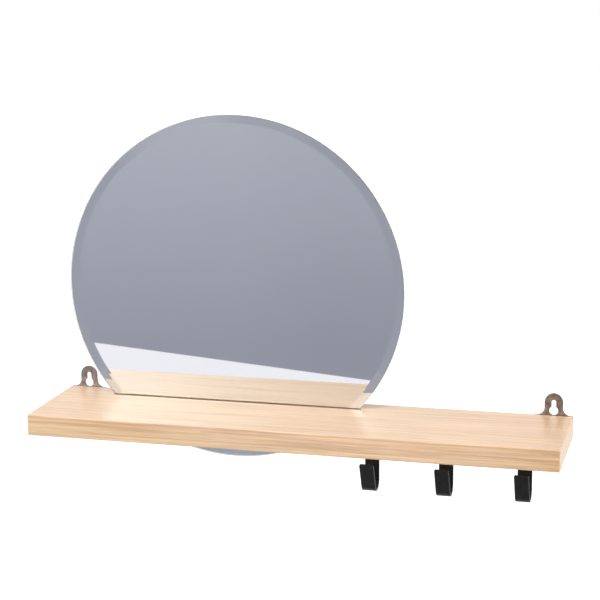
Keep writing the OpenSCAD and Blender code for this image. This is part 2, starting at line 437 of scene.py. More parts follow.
def fine_grain_group():
    """Two sizes of even mottling, for coats, plating and glass."""
    inputs = {"Coarse Size": 12.0, "Fine Size": 0.5}
    tree, given, result = group("fine_grain", inputs, ("Coarse", "Fine", "Speck"))
    coarse = sized_noise(tree, "coarse", given["Vector"], given["Coarse Size"], 3.0)
    fine = sized_noise(tree, "fine", given["Vector"], given["Fine Size"], 2.0)
    feed(result["Coarse"], span(tree, "coarse span", coarse, 0.3, 0.7))
    feed(result["Fine"], span(tree, "fine span", fine, 0.3, 0.7, smooth=False))
    feed(result["Speck"], span(tree, "speck", fine, 0.62, 0.72))
    return tree


GROUPS = {
    "wood_figure": wood_figure_group(),
    "worn_edge": worn_edge_group(),
    "fine_grain": fine_grain_group(),
}


def use(tree, name, inputs):
    """One of the shared groups, placed in a material with its own values."""
    made = add(tree, "Group", name, node_tree=GROUPS[name])
    for key, value in inputs.items():
        feed(made.inputs[key], value)
    return made.outputs


def mottling(tree, vector, coarse, fine):
    return use(tree, "fine_grain", {"Vector": vector, "Coarse Size": coarse, "Fine Size": fine})


def rubbed(tree, vector, size, amount, tone, bright):
    """A tone that turns to a brighter one where an edge is rubbed."""
    worn = use(tree, "worn_edge", {"Vector": vector, "Size": size, "Amount": amount})
    return blend(tree, "rubbed edge", worn["Mask"], tone, bright)


def empty_material(name):
    """A material and its tree, with no nodes in it."""
    material = bpy.data.materials.new(name)
    material.use_nodes = True
    material.node_tree.nodes.clear()
    return material, material.node_tree


def show(tree, shader):
    add(tree, "OutputMaterial", "output", {"Surface": shader.outputs[0]})


def start_material(name, location=(0.0, 0.0, 0.0), **fixed):
    """A material with its Principled BSDF, and Object coordinates in millimetres."""
    material, tree = empty_material(name)
    surface = add(tree, "BsdfPrincipled", "surface")
    for label, value in fixed.items():
        surface.inputs[label.replace("_", " ")].default_value = value
    show(tree, surface)
    place = add(tree, "TexCoord", "place").outputs["Object"]
    scale = (1 / MM, 1 / MM, 1 / MM)
    mapping = {"Vector": place, "Location": location, "Scale": scale}
    vector = add(tree, "Mapping", "millimetres", mapping).outputs[0]
    return material, tree, surface, vector


def cover(surface, tone, rough):
    """Gives a surface its colour and its roughness."""
    feed(surface.inputs["Base Color"], tone)
    feed(surface.inputs["Roughness"], rough)


def bump(tree, surface, height, strength, depth_mm):
    """Relief of a depth in millimetres on a surface."""
    inputs = {"Height": height, "Strength": strength, "Distance": depth_mm * MM}
    relief = add(tree, "Bump", "relief", inputs)
    feed(surface.inputs["Normal"], relief.outputs[0])


def let_light_through(tree, surface):
    """Clear after a matt bounce, so that light reflected by the silver still reaches the board."""
    rays = add(tree, "LightPath", "ray").outputs
    before = calc(tree, "before a matt bounce", "LESS_THAN", rays["Diffuse Depth"], 0.5)
    feed(surface.inputs["Alpha"], before)


# ---- Finishes ----

# The pith of the log that the board was sawn from, from the object's origin
PITH = (0.0, -262.0, -196.0)
RING_SPACING = 3.1
RING_WANDER = 7.0
EARLY_WOOD = (0.83, 0.572, 0.362, 1)
LATE_WOOD = (0.63, 0.38, 0.20, 1)
PINK_STREAK = (0.84, 0.548, 0.383, 1)
YELLOW_STREAK = (0.83, 0.605, 0.347, 1)
WARM_PATCH = (0.70, 0.44, 0.235, 1)
END_GRAIN = (0.80, 0.61, 0.43, 1)
FLECK_BROWN = (0.50, 0.29, 0.14, 1)
RUBBED_WOOD = (0.86, 0.68, 0.48, 1)
# Darker tones inside the slot and the screw holes: painted shade in these recesses
SLOT_EARLY_WOOD_PAINTED_SHADE = (0.66, 0.45, 0.26, 1)
SLOT_LATE_WOOD_PAINTED_SHADE = (0.47, 0.27, 0.13, 1)

# Where the warmer heartwood comes in, and where the ends begin, from the board's middle
HEARTWOOD_TONE = (0.93, 0.89, 0.83, 1)
HEARTWOOD_X = (190.0, 300.0)
BOARD_END_X = (298.4, 299.6)

# Pairs of tones that each finish is mottled with
GLASS_TINTS = ((0.984, 0.992, 0.992, 1), (0.98, 0.99, 0.988, 1))
RIM_GREENS = ((0.7, 0.78, 0.77, 1), (0.62, 0.71, 0.7, 1))
SILVER_TONES = ((0.85, 0.855, 0.86, 1), (0.86, 0.863, 0.865, 1))
PAINT_GREYS = ((0.082, 0.094, 0.105, 1), (0.105, 0.118, 0.13, 1))
PLATE_TONES = ((0.24, 0.216, 0.198, 1), (0.45, 0.4, 0.378, 1))
SCREW_TONES = ((0.4, 0.35, 0.3, 1), (0.5, 0.44, 0.38, 1))
COAT_BLACKS = ((0.0138, 0.0138, 0.0134, 1), (0.0207, 0.0207, 0.0202, 1))

PAINT_FLOW = (0.13, 0.14, 0.15, 1)
PAINT_SPECK = (0.16, 0.17, 0.18, 1)
COAT_DUST = (0.05, 0.05, 0.05, 1)
RUBBED_COAT = (0.06, 0.06, 0.06, 1)
RUBBED_STEEL = 1.5

GLASS = {"IOR": 1.52, "Metallic": 0.0, "Transmission_Weight": 1.0}
LACQUER = {"IOR": 1.5, "Coat_Weight": 0.6, "Coat_Roughness": 0.34}


def start_wood(name, **fixed):
    """A material whose pattern is the wood's figure about the pith."""
    away = tuple(-value for value in PITH)
    material, tree, surface, vector = start_material(name, away, **fixed)
    inputs = {"Vector": vector, "Ring Spacing": RING_SPACING, "Wander": RING_WANDER}
    return material, tree, surface, vector, use(tree, "wood_figure", inputs)


def board_wood():
    """Pale straight-grained softwood under a clear matt lacquer."""
    material, tree, surface, vector, figure = start_wood("lacquered_wood", **LACQUER)
    streaks = blend(tree, "streaks", figure["Streak"], YELLOW_STREAK, PINK_STREAK)
    ground = blend(tree, "ground", 0.55, EARLY_WOOD, streaks)
    patch = times(tree, "patch share", figure["Patch"], 0.7)
    ground = blend(tree, "warm patches", patch, ground, WARM_PATCH)
    late = times(tree, "late share", figure["Late Wood"], 0.78)
    grained = blend(tree, "year rings", late, ground, LATE_WOOD)
    fibre = span(tree, "fibre tone", figure["Fibre"], 0.0, 1.0, 0.78, 1.21, False)
    fibred = blend(tree, "fibres", 1.0, grained, fibre, "MULTIPLY")
    fleck = times(tree, "fleck share", figure["Fleck"], 0.22)
    flecked = blend(tree, "flecks", fleck, fibred, FLECK_BROWN)
    place = add(tree, "SeparateXYZ", "place along the board", {0: vector})
    warmer = span(tree, "warmer to the right", place.outputs["X"], *HEARTWOOD_X)
    warmed = blend(tree, "heartwood tone", warmer, flecked, HEARTWOOD_TONE, "MULTIPLY")
    along = calc(tree, "from the middle", "ABSOLUTE", place.outputs["X"])
    end = span(tree, "end grain", along, *BOARD_END_X, 0.0, 0.6)
    ended = blend(tree, "paler end", end, warmed, END_GRAIN)
    finished = rubbed(tree, vector, 14.0, 0.25, ended, RUBBED_WOOD)
    rough = span(tree, "lacquer", figure["Fibre"], 0.0, 1.0, 0.26, 0.42, False)
    rough = calc(tree, "duller end", "ADD", rough, times(tree, "end share", end, 0.5))
    cover(surface, finished, rough)
    bump(tree, surface, figure["Height"], 0.15, 0.12)
    return material


def slot_wood():
    """The same wood inside the slot and the screw holes, sawn and without lacquer, with darker tones
    as painted shade in these recesses.
    """
    material, tree, surface, vector, figure = start_wood("slot_wood", IOR=1.4)
    late = times(tree, "late share", figure["Late Wood"], 0.7)
    grained = blend(tree, "year rings", late, SLOT_EARLY_WOOD_PAINTED_SHADE, SLOT_LATE_WOOD_PAINTED_SHADE)
    fibre = span(tree, "fibre tone", figure["Fibre"], 0.0, 1.0, 0.78, 1.08, False)
    fibred = blend(tree, "fibres", 1.0, grained, fibre, "MULTIPLY")
    marks = noise(tree, "cutter marks", vector, (1.4, 60, 60), 1.0)
    cover(surface, fibred, span(tree, "sawn", marks, 0.3, 0.7, 0.65, 0.85, False))
    height = calc(tree, "marks and fibres", "ADD", marks, figure["Height"])
    bump(tree, surface, height, 0.6, 0.15)
    return material


def clear_glass():
    """Polished float glass, with the faintest wipe marks."""
    material, tree, surface, vector = start_material("clear_glass", **GLASS)
    grain = mottling(tree, vector, 60.0, 3.0)
    tint = blend(tree, "tint", grain["Coarse"], *GLASS_TINTS)
    rough = span(tree, "wipe marks", grain["Coarse"], 0.0, 1.0, 0.0, 0.012, False)
    cover(surface, tint, rough)
    let_light_through(tree, surface)
    return material


def glass_rim():
    """The rim of the glass, ground and then polished, green from the side."""
    material, tree, surface, vector = start_material("glass_rim", **GLASS)
    grain = mottling(tree, vector, 5.0, 0.4)
    green = blend(tree, "rim green", grain["Coarse"], *RIM_GREENS)
    rough = span(tree, "ground rim", grain["Fine"], 0.0, 1.0, 0.16, 0.26, False)
    cover(surface, green, rough)
    bump(tree, surface, grain["Fine"], 0.2, 0.02)
    let_light_through(tree, surface)
    return material


def mirror_silver():
    """The silver film, seen through the glass."""
    material, tree, surface, vector = start_material("silver_behind_glass", Metallic=1.0)
    grain = mottling(tree, vector, 90.0, 1.0)
    tone = blend(tree, "film", grain["Coarse"], *SILVER_TONES)
    rough = span(tree, "film haze", grain["Coarse"], 0.0, 1.0, 0.0, 0.01, False)
    cover(surface, tone, rough)
    return material


def back_paint():
    """Grey protective paint, curtain-coated over the silver."""
    material, tree, surface, vector = start_material("protective_paint", IOR=1.5)
    grain = mottling(tree, vector, 40.0, 0.8)
    flow = noise(tree, "flow", vector, (3.0, 3.0, 90.0), 2.0)
    tone = blend(tree, "paint", grain["Coarse"], *PAINT_GREYS)
    lines = span(tree, "flow tone", flow, 0.3, 0.7, 0, 0.35)
    tone = blend(tree, "flow lines", lines, tone, PAINT_FLOW)
    tone = blend(tree, "dust specks", grain["Speck"], tone, PAINT_SPECK)
    rough = span(tree, "satin", grain["Coarse"], 0.0, 1.0, 0.42, 0.56, False)
    cover(surface, tone, rough)
    height = calc(tree, "orange peel", "ADD", grain["Fine"], flow)
    bump(tree, surface, height, 0.3, 0.04)
    return material


def plated_steel(name, tones, roughness):
    """Plated sheet steel: mottled plating, with brighter rubbed edges."""
    material, tree, surface, vector = start_material(name, Metallic=1.0)
    grain = mottling(tree, vector, 5.0, 0.35)
    roll = noise(tree, "rolling lines", vector, (14.0, 1.0, 0.3), 2.0)
    tone = blend(tree, "plating", grain["Coarse"], *tones)
    rolled = span(tree, "rolling tone", roll, 0.3, 0.7, 0.88, 1.08, False)
    tone = blend(tree, "rolled", 1.0, tone, rolled, "MULTIPLY")
    bright = tuple(min(1.0, value * RUBBED_STEEL) for value in tones[1][:3]) + (1,)
    tone = rubbed(tree, vector, 2.0, 0.55, tone, bright)
    rough = span(tree, "plating grain", grain["Fine"], 0.0, 1.0, roughness, roughness + 0.12, False)
    cover(surface, tone, rough)
    height = calc(tree, "grain and rolling", "ADD", grain["Fine"], roll)
    bump(tree, surface, height, 0.25, 0.03)
    return material


def black_coat(name, roughness):
    """Baked satin black on steel, with a fine orange peel."""
    material, tree, surface, vector = start_material(name, IOR=1.42)
    grain = mottling(tree, vector, 7.0, 0.7)
    tone = blend(tree, "coat", grain["Coarse"], *COAT_BLACKS)
    dust = times(tree, "dust share", grain["Speck"], 0.3)
    tone = blend(tree, "dust", dust, tone, COAT_DUST)
    tone = rubbed(tree, vector, 3.0, 0.35, tone, RUBBED_COAT)
    rough = span(tree, "satin", grain["Coarse"], 0.0, 1.0, roughness, roughness + 0.1, False)
    cover(surface, tone, rough)
    bump(tree, surface, grain["Fine"], 0.25, 0.03)
    return material


# ---- Camera ----

CAMERA_PLACE = (0.477662, -1.858732, 0.518849)
CAMERA_TURN = 0.259436
CAMERA_RISE = 0.208182
CAMERA_ROLL = -0.007288
CAMERA_LENS = 102.6084


def make_camera():
    data = bpy.data.cameras.new("camera")
    data.lens = CAMERA_LENS
    data.sensor_width = 36.0
    camera = new_object("camera", data)
    right = Vector((cos(CAMERA_TURN), sin(CAMERA_TURN), 0))
    level = Vector((sin(CAMERA_TURN), -cos(CAMERA_TURN), 0)) * cos(CAMERA_RISE)
    back = level + Vector((0, 0, sin(CAMERA_RISE)))
    up = back.cross(right)
    c, s = cos(CAMERA_ROLL), sin(CAMERA_ROLL)
    axes = Matrix((c * right + s * up, c * up - s * right, back)).transposed()
    camera.matrix_world = Matrix.Translation(CAMERA_PLACE) @ axes.to_4x4()
    bpy.context.scene.camera = camera


make_camera()


# ---- Studio ----

AMBIENT = 0.45
WHITE = (1.0, 1.0, 1.0, 1)

# Half the floor's width, and its glow from near the object to farther off
FLOOR_Z = -0.9
FLOOR_HALF = 12.0
FLOOR_WHITE = (0.8, 0.8, 0.8, 1)
FLOOR_REACH = (1.3, 2.6)
FLOOR_GLOW = (0.55, 0.85)

# What the mirror takes from the light of the wall and the card is made up in their glow
STAGE_GLOW = 1.112

# Radius and height of the wall's rows, about the middle of its floor
WALL_ROWS = ((0.0, -0.86), (3.15, -0.86), (3.4, -0.66), (3.4, 2.2))
WALL_SWEEP = (-184, 4)
WALL_STEPS = 64
WALL_JOIN_WITHIN = 1e-5

# The middle of the mirror, and the wall's greys by the rise of the direction from there,
# where 0 to 1 stands for -0.5 to 0.5
WALL_EYE = Vector((-0.088, -0.03, 0.129))
WALL_GREYS = (
    (0.0, (0.32, 0.329, 0.387, 1)),
    (0.25, (0.32, 0.329, 0.387, 1)),
    (0.262, (0.328, 0.337, 0.396, 1)),
    (0.396, (0.417, 0.428, 0.496, 1)),
    (0.6, (0.53, 0.54, 0.6, 1)),
    (0.72, (1.0, 0.99, 0.97, 1)),
)

# Soft windows on the wall: the spans of X and Z over which each comes in, and its light
WINDOWS = (
    ("window", (-0.235, -0.36), (0.06, 0.22), (2.2, 2.25, 2.25, 1)),
    ("high window", (-0.38, -0.48), (0.28, 0.38), (6.0, 5.9, 5.6, 1)),
)

CARD_WHITE = (0.93, 0.915, 0.965, 1)
CARD_CORNERS = (
    (-0.797, -1.2, -0.2369),
    (-0.1245, -1.2, -0.29),
    (-0.1245, -1.2, -0.33),
    (-0.797, -1.2, -0.33),
)

# Name, direction, distance, width, height, level, and whether gloss shows it
SOFTBOXES = (
    ("left_softbox", (-0.36, -0.58, 0.73), 2.6, 1.1, 0.9, 0.67, False),
    ("right_softbox", (0.90, -0.28, 0.33), 2.2, 1.2, 1.2, 0.49, True),
)


def seen_directly(tree):
    """1 for rays from the camera and for those that gloss, metal and glass send on."""
    rays = add(tree, "LightPath", "ray").outputs
    seen = calc(tree, "camera or gloss", "MAXIMUM", rays["Is Camera Ray"], rays["Is Glossy Ray"])
    return calc(tree, "or glass", "MAXIMUM", seen, rays["Is Transmission Ray"])


def make_world():
    world = bpy.data.worlds.new("studio")
    world.use_nodes = True
    tree = world.node_tree
    tree.nodes.clear()
    soft = add(tree, "Background", "soft light", {"Color": WHITE, "Strength": AMBIENT})
    white = add(tree, "Background", "white backdrop", {"Color": WHITE, "Strength": 1.0})
    sides = {0: seen_directly(tree), 1: soft.outputs[0], 2: white.outputs[0]}
    either = add(tree, "MixShader", "backdrop or light", sides)
    add(tree, "OutputWorld", "output", {"Surface": either.outputs[0]})
    bpy.context.scene.world = world


def card_material():
    """White that shows by its own light to the rays that see it directly."""
    material, tree = empty_material("white_card")
    shown = times(tree, "glow", seen_directly(tree), STAGE_GLOW)
    glow = add(tree, "Emission", "glow", {"Color": CARD_WHITE, "Strength": shown})
    show(tree, glow)
    return material


def stage_quad(name, corners, material):
    mesh = bpy.data.meshes.new(name)
    mesh.from_pydata(corners, [], [(0, 1, 2, 3)])
    mesh.materials.append(material)
    made = new_object(name, mesh)
    return made


def only_in_reflections(made):
    made.visible_camera = False
    made.visible_diffuse = False
    made.visible_shadow = False
    made.visible_volume_scatter = False


def wall_material():
    """Grey that darkens downwards and to the right, with the windows on it."""
    material, tree = empty_material("studio_wall")
    place = add(tree, "TexCoord", "place").outputs["Object"]
    way = add(tree, "VectorMath", "direction", {0: place}, operation="NORMALIZE")
    parts = add(tree, "SeparateXYZ", "direction parts", {0: way.outputs[0]})
    ramp = add(tree, "ValToRGB", "grey by elevation")
    share = span(tree, "elevation", parts.outputs["Z"], -0.5, 0.5, smooth=False)
    feed(ramp.inputs[0], share)
    stops = ramp.color_ramp.elements
    stops[0].position, stops[0].color = WALL_GREYS[0]
    stops[1].position, stops[1].color = WALL_GREYS[-1]
    for position, colour in WALL_GREYS[1:-1]:
        stops.new(position).color = colour
    side = span(tree, "toward the right", parts.outputs["X"], -0.29, -0.20, 1.0, 0.95, False)
    end = span(tree, "right end", parts.outputs["X"], -0.15, -0.03, 1.0, 0.35)
    side = times(tree, "both sides", side, end)
    tone = blend(tree, "darker to the right", 1.0, ramp.outputs[0], side, "MULTIPLY")
    for name, across, upward, light in WINDOWS:
        left = span(tree, f"{name}, left", parts.outputs["X"], *across)
        high = span(tree, f"{name}, high", parts.outputs["Z"], *upward)
        window = times(tree, name, left, high)
        tone = blend(tree, f"{name} on the wall", window, tone, light)
    glow = add(tree, "Emission", "glow", {"Color": tone, "Strength": STAGE_GLOW})
    show(tree, glow)
    return material


def make_wall():
    """A curved grey wall and its floor in front of the mirror, for reflections only."""
    bm = bmesh.new()
    rings = []
    for radius, height in WALL_ROWS:
        points = arc((0, 0), radius, *WALL_SWEEP, WALL_STEPS)
        rings.append([bm.verts.new(Vector((x, y, height)) - WALL_EYE) for x, y in points])
    for lower, upper in zip(rings, rings[1:]):
        for i in range(WALL_STEPS):
            bm.faces.new((lower[i], lower[i + 1], upper[i + 1], upper[i]))
    bmesh.ops.remove_doubles(bm, verts=bm.verts, dist=WALL_JOIN_WITHIN)
    wall = object_from(bm, "studio_wall", wall_material(), closed=False)
    wall.location = WALL_EYE
    only_in_reflections(wall)


def floor_material():
    """A pale matt floor, as white as the backdrop farther off, and clear from below."""
    material, tree = empty_material("floor")
    place = add(tree, "TexCoord", "place").outputs["Object"]
    away = add(tree, "VectorMath", "away from the object", {0: place}, operation="LENGTH")
    level = span(tree, "glow by distance", away.outputs["Value"], *FLOOR_REACH, *FLOOR_GLOW)
    shown = times(tree, "glow that shows", seen_directly(tree), level)
    glow = add(tree, "Emission", "glow", {"Color": WHITE, "Strength": shown})
    matt = add(tree, "BsdfDiffuse", "matt", {"Color": FLOOR_WHITE})
    both = add(tree, "AddShader", "both", {0: matt.outputs[0], 1: glow.outputs[0]})
    clear = add(tree, "BsdfTransparent", "clear")
    under = add(tree, "NewGeometry", "side").outputs["Backfacing"]
    sides = {0: under, 1: both.outputs[0], 2: clear.outputs[0]}
    seen = add(tree, "MixShader", "clear from below", sides)
    show(tree, seen)
    return material


def make_floor():
    ways = ((-1, -1), (1, -1), (1, 1), (-1, 1))
    corners = [(x * FLOOR_HALF, y * FLOOR_HALF, FLOOR_Z) for x, y in ways]
    stage_quad("floor", corners, floor_material())


def make_card():
    """A white sheet in front of the object, which shows low in the mirror."""
    only_in_reflections(stage_quad("white_card", CARD_CORNERS, card_material()))


def softbox(name, way, distance, width, height, level, in_gloss):
    """An area lamp in a direction. At level 1 it lights a white sheet that faces it to white."""
    data = bpy.data.lights.new(name, "AREA")
    data.shape = "RECTANGLE"
    data.size = width
    data.size_y = height
    data.energy = level * pi ** 2 * distance ** 2
    lamp = new_object(name, data)
    way = Vector(way).normalized()
    lamp.matrix_world = way.to_track_quat("Z", "Y").to_matrix().to_4x4()
    lamp.location = way * distance
    lamp.visible_camera = False
    lamp.visible_glossy = in_gloss


make_world()
make_floor()
make_wall()
make_card()
for settings in SOFTBOXES:
    softbox(*settings)


# ---- Board ----


def board_blank(low, high, wood):
    """The board with its eased edges, before its slot is cut."""
    bm = bmesh.new()
    bmesh.ops.create_cube(bm, size=1.0)
    bmesh.ops.scale(bm, vec=high - low, verts=bm.verts)
    bmesh.ops.translate(bm, vec=(low + high) / 2, verts=bm.verts)
    rounding = {"offset": BOARD_EDGE_R, "segments": BOARD_EDGE_STEPS, "profile": 0.5}
    bmesh.ops.bevel(bm, geom=bm.edges[:], affect="EDGES", **rounding)
    return object_from(bm, "board_blank", wood)


def slot_cutter(low, high, wood):
    """The round-ended slot that the mirror stands in: its ends carry the rim."""
    glass_low, glass_high = box_mm("mirror_glass")
    paint_back = box_mm("mirror_back_paint")[1].y
    radius = (glass_high.x - glass_low.x) / 2
    centre = middle_mm("mirror_glass")
    half_mirror = (paint_back - glass_low.y) / 2
    end_r = half_mirror + SLOT_SIDE_GAP
    rise = centre.z - high.z
    seat = sqrt((radius + SLOT_SEAT_GAP) ** 2 - rise ** 2)
    round_loss = end_r - sqrt(end_r ** 2 - half_mirror ** 2)
    reach = seat + round_loss - end_r
    y = (paint_back + glass_low.y) / 2
    outline = arc((centre.x + reach, y), end_r, -90, 90, SLOT_END_STEPS)
    outline += arc((centre.x - reach, y), end_r, 90, 270, SLOT_END_STEPS)
    bm = bmesh.new()
    skin(bm, [ring_at(bm, outline, z) for z in (low.z - CUT_PAST, high.z + CUT_PAST)])
    return object_from(bm, "slot_cutter", wood)


def make_board():
    low, high = box_mm("shelf_board")
    outer = board_wood()
    # The slot and the screw holes take the darker wood, whose tones paint their shade
    inner = slot_wood()
    board = cut(board_blank(low, high, outer), slot_cutter(low, high, inner), "slotted_board")
    ease = board.modifiers.new("slot edge", "BEVEL")
    ease.width = SLOT_EDGE_R
    ease.segments = SLOT_EDGE_STEPS
    ease.limit_method = "ANGLE"
    ease.angle_limit = radians(SLOT_CREASE)
    board = baked(board, "eased_board")
    for screw in (PLATE_SCREW, HOOK_SCREW):
        holes = pockets(screw, screw["owners"], inner)
        board = cut(board, holes, f"board_with_{screw['label']}_holes")
    board = keep_flats_flat(board, BOARD_CREASE)
    board.name = "wooden_board"
    hand_over(board, "shelf", ["shelf_board"])


make_board()


# ---- Mirror ----


def upright(place):
    """Stands a shape that is drawn flat at a place, with its +Z toward the viewer."""
    return Matrix.Translation(place) @ Matrix.Rotation(radians(90), 4, "X")


def mirror_disc(name, profile, place, materials, rim_rows=0):
    """A lathed disc with crisp rings, whose first rows have the second material."""
    bm = bmesh.new()
    faces = lathe(bm, profile, MIRROR_STEPS, place)
    for face in faces[:rim_rows * MIRROR_STEPS]:
        face.material_index = 1
    disc = object_from(bm, name, *materials)
    soften(disc, DISC_CREASE)
    return disc


def make_mirror():
    low, high = box_mm("mirror_glass")
    x, z = (low.x + high.x) / 2, (low.z + high.z) / 2
    radius = (high.x - low.x) / 2
    thick = high.y - low.y
    rim = thick - BEVEL_DEPTH
    slope = BEVEL_DEPTH / BEVEL_WIDTH
    profile = [
        (0, 0),
        (radius - ARRIS, 0),
        (radius, ARRIS),
        (radius, rim - FRONT_ARRIS),
        (radius - FRONT_ARRIS, rim + FRONT_ARRIS * slope),
        (radius - BEVEL_WIDTH, thick),
        (0, thick),
    ]
    place = upright((x, high.y, z))
    finishes = [clear_glass(), glass_rim()]
    glass = mirror_disc("mirror_glass_disc", profile, place, finishes, rim_rows=3)
    hand_over(glass, "mirror", ["mirror_glass"])
    for node, name, slot, finish, gap in (
        ("mirror_silver", "silver_film", "mirror_silver", mirror_silver(), SILVER_GAP),
        ("mirror_back_paint", "back_paint_film", "back_paint", back_paint(), 0.0),
    ):
        low, high = box_mm(node)
        edge = (high.x - low.x) / 2
        depth = high.y - low.y - gap
        profile = [(0, 0), (edge - FILM_ARRIS, 0), (edge, FILM_ARRIS), (edge, depth), (0, depth)]
        film = mirror_disc(name, profile, upright((x, high.y, z)), [finish])
        hand_over(film, "mirror", [node])


make_mirror()


# ---- Keyhole plates ----


def plate_outline():
    """Outline of a plate, from the middle of the top of its base."""
    half = PLATE_WIDTH / 2
    low = -PLATE_BASE
    r = PLATE_CORNER_R
    shoulder = PLATE_TAB_R + PLATE_SHOULDER_R
    points = arc((half - r, low + r), r, -90, 0, PLATE_CORNER_STEPS)
    points += [(half, 0)]
    points += arc((shoulder, PLATE_SHOULDER_R), PLATE_SHOULDER_R, 270, 180, PLATE_CURVE_STEPS)
    points += arc((0, KEYSLOT_RISE), PLATE_TAB_R, 0, 180, PLATE_TAB_STEPS)
    points += arc((-shoulder, PLATE_SHOULDER_R), PLATE_SHOULDER_R, 0, -90, PLATE_CURVE_STEPS)
    points += [(-half, 0)]
    points += arc((r - half, low + r), r, 180, 270, PLATE_CORNER_STEPS)
    return points


def keyhole_outline():
    """Outline of the round hole and the slot above it, from the same point."""
    side = degrees(acos(KEYSLOT_R / KEYHOLE_R))
    points = arc((0, KEYHOLE_RISE), KEYHOLE_R, side, -180 - side, KEYHOLE_STEPS)
    points += arc((0, KEYSLOT_RISE), KEYSLOT_R, 180, 0, PLATE_CURVE_STEPS)
    return points


def plate_blank(outlines, thickness):
    """A plate with slightly rounded edges, drawn flat about the plane Z 0."""
    curve = bpy.data.curves.new("plate_blank", "CURVE")
    curve.dimensions = "2D"
    curve.fill_mode = "BOTH"
    curve.extrude = thickness / 2 - PLATE_EDGE_R
    curve.bevel_depth = PLATE_EDGE_R
    curve.bevel_resolution = 2
    curve.offset = -PLATE_EDGE_R
    for outline in outlines:
        spline = curve.splines.new("POLY")
        spline.points.add(len(outline) - 1)
        for point, (x, y) in zip(spline.points, outline):
            point.co = (x, y, 0, 1)
        spline.use_cyclic_u = True
    flat = baked(new_object("plate_blank", curve), "plate_blank")
    bm = bmesh.new()
    bm.from_mesh(flat.data)
    bmesh.ops.remove_doubles(bm, verts=bm.verts, dist=JOIN_WITHIN)
    bmesh.ops.recalc_face_normals(bm, faces=bm.faces)
    bm.to_mesh(flat.data)
    bm.free()
    return flat


def make_plates():
    steel = plated_steel("plated_steel", PLATE_TONES, roughness=0.34)
    outlines = (plate_outline(), keyhole_outline())
    for node in PLATE_SCREW["owners"]:
        low, high = box_mm(node)
        base = ((low.x + high.x) / 2, (low.y + high.y) / 2, low.z + PLATE_BASE)
        plate = plate_blank(outlines, high.y - low.y)
        plate.data.transform(upright(base))
        plate.data.materials.append(steel)
        name = node.replace("hanger", "keyhole_plate")
        plate = cut(plate, pockets(PLATE_SCREW, [node]), name)
        hand_over(keep_flats_flat(plate, METAL_CREASE), "shelf", [node])


make_plates()


# ---- Hooks ----


def hook_path(high):
    """The strip's middle line from its rear end to the end of its lip, and its normals, in Y and Z."""
    mid = HOOK_THICKNESS / 2
    front = high.y - HOOK_FLANGE
    top = high.z
    corner = HOOK_CORNER_R + HOOK_THICKNESS
    bend = HOOK_BEND_R + HOOK_THICKNESS
    bend_z = top + bend - HOOK_DROP
    stations = [((y, top - mid), (0.0, 1.0)) for y in (high.y, front + corner)]
    for y, z in arc((0, 0), 1.0, 90, 180, HOOK_CORNER_STEPS)[1:]:
        place = (front + corner + y * (corner - mid), top - corner + z * (corner - mid))
        stations.append((place, (y, z)))
    for y, z in arc((0, 0), 1.0, 0, -180 + degrees(HOOK_LEAN), HOOK_BEND_STEPS):
        place = (front - HOOK_BEND_R + y * (bend - mid), bend_z + z * (bend - mid))
        stations.append((place, (-y, -z)))
    start, normal = stations[-1]
    way = (-sin(HOOK_LEAN), cos(HOOK_LEAN))
    end = (start[0] + way[0] * HOOK_LIP, start[1] + way[1] * HOOK_LIP)
    stations.append((end, normal))
    return stations


def eased(distance, radius):
    """How far a rounded end of a radius has drawn in, at a distance from the end."""
    if distance >= radius:
        return 0.0
    return radius - sqrt(radius ** 2 - (radius - distance) ** 2)


def strip_section(half_width, half_thickness):
    """Outline of the strip: a rectangle with rounded corners."""
    r = HOOK_EDGE_R
    points = []
    for sx, sn, start in ((1, 1, 0), (-1, 1, 90), (-1, -1, 180), (1, -1, 270)):
        centre = (sx * (half_width - r), sn * (half_thickness - r))
        points += arc(centre, r, start, start + 90, HOOK_EDGE_STEPS)
    return points


def end_stations(first, second):
    """Extra stations over the rounded end of the strip, from the end inwards."""
    (y0, z0), normal = first
    (y1, z1), _ = second
    length = hypot(y1 - y0, z1 - z0)
    made = []
    for i in range(HOOK_END_STEPS + 1):
        d = HOOK_END_R * (1 - cos(radians(90 * i / HOOK_END_STEPS)))
        share = d / length
        made.append((((y0 + (y1 - y0) * share, z0 + (z1 - z0) * share), normal), d))
    return made


def hook_strip(low, high, coat):
    """A bent strip with rounded ends, along its middle line."""
    stations = hook_path(high)
    x = (low.x + high.x) / 2
    rows = end_stations(stations[0], stations[1])
    rows += [(station, HOOK_END_R) for station in stations[1:-1]]
    rows += list(reversed(end_stations(stations[-1], stations[-2])))
    bm = bmesh.new()
    rings = []
    for ((y, z), (ny, nz)), d in rows:
        half_width = HOOK_WIDTH / 2 - eased(d, HOOK_END_R)
        half_thickness = HOOK_THICKNESS / 2 - eased(d, HOOK_EDGE_R)
        outline = strip_section(half_width, half_thickness)
        rings.append([bm.verts.new((x + px, y + ny * pn, z + nz * pn)) for px, pn in outline])
    skin(bm, rings)
    return object_from(bm, "hook_strip", coat)


def make_hooks():
    coat = black_coat("satin_black", roughness=0.44)
    for node in HOOK_SCREW["owners"]:
        hook = hook_strip(*box_mm(node), coat)
        hook = cut(hook, pockets(HOOK_SCREW, [node]), f"strip_{node}")
        hand_over(keep_flats_flat(hook, METAL_CREASE), "shelf", [node])


make_hooks()


# ---- Screws ----

# The cross recess, as shares of the head's diameter
CROSS_DEPTH = 0.2
CROSS_SPAN = 0.58
CROSS_WIDTH = 0.16

# Share of the recess's reach, width and depth at its bottom, and over its top
CROSS_ROWS = ((0.45, 0.75, -1.0), (1.1, 1.05, 0.3))

# Length of the tip, and radii of the thread's root and the plain neck, against the shank's
TIP_LENGTH = 1.4
THREAD_ROOT = 0.74
NECK_SHARE = 0.9

# Half the share of a turn that the ridge of the thread takes
THREAD_HALF = 0.28
THREAD_STEPS = 24
THREAD_ROWS = 5
LEAST_R = 0.06
TIP_R = 0.05

